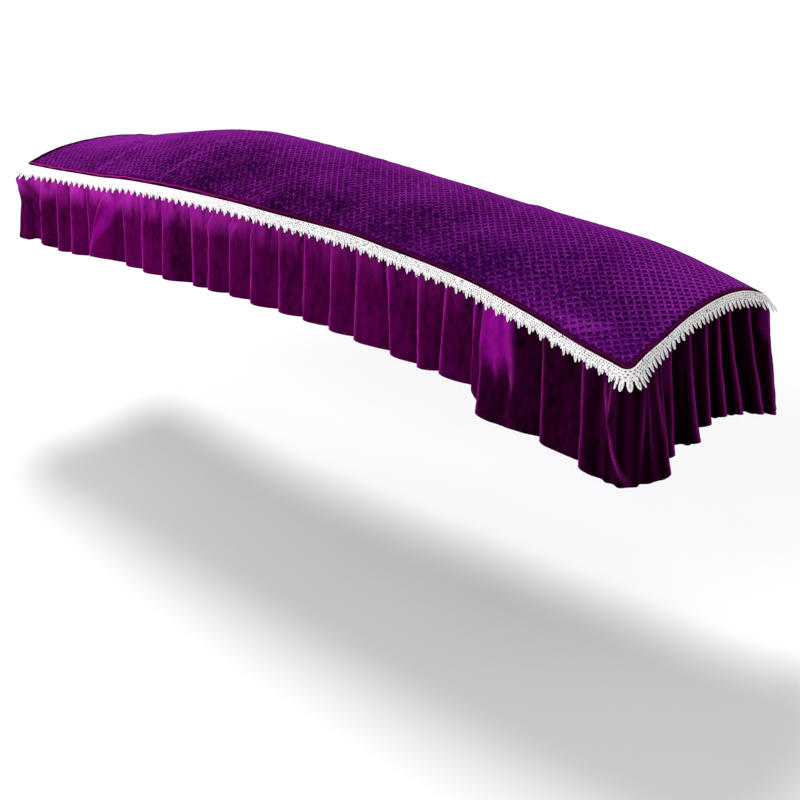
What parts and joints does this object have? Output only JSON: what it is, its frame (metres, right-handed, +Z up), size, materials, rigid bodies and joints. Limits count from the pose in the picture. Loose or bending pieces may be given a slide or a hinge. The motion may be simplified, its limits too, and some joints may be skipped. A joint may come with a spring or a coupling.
{
  "type": "zither dust cover",
  "caption": "Fitted dust cover for a long table zither: arched padded velvet top with flat piping, a scalloped lace trim and a pleated velvet skirt all round.",
  "frame": {"origin": "underside of the top under its crown, halfway along, where the covered instrument holds the cover up", "axes": "+X along the cover to its wider head end, +Y to the back, +Z up"},
  "size_m": [1.7648, 0.4832, 0.3212],
  "materials": {
    "padded_velvet": "embossed velvet in a small diamond lattice, soft sheen",
    "plum_tape": "flat velvet-faced piping",
    "lace_yarn": "matt knitted lace",
    "skirt_velvet": "crushed velvet with bright fold edges"
  },
  "bodies": {
    "root": {"top_panel": "padded_velvet", "rim_piping": "plum_tape", "rim_lace": "lace_yarn", "skirt_front": "skirt_velvet", "skirt_head": "skirt_velvet", "skirt_back": "skirt_velvet", "skirt_tail": "skirt_velvet"}
  },
  "joints": []
}
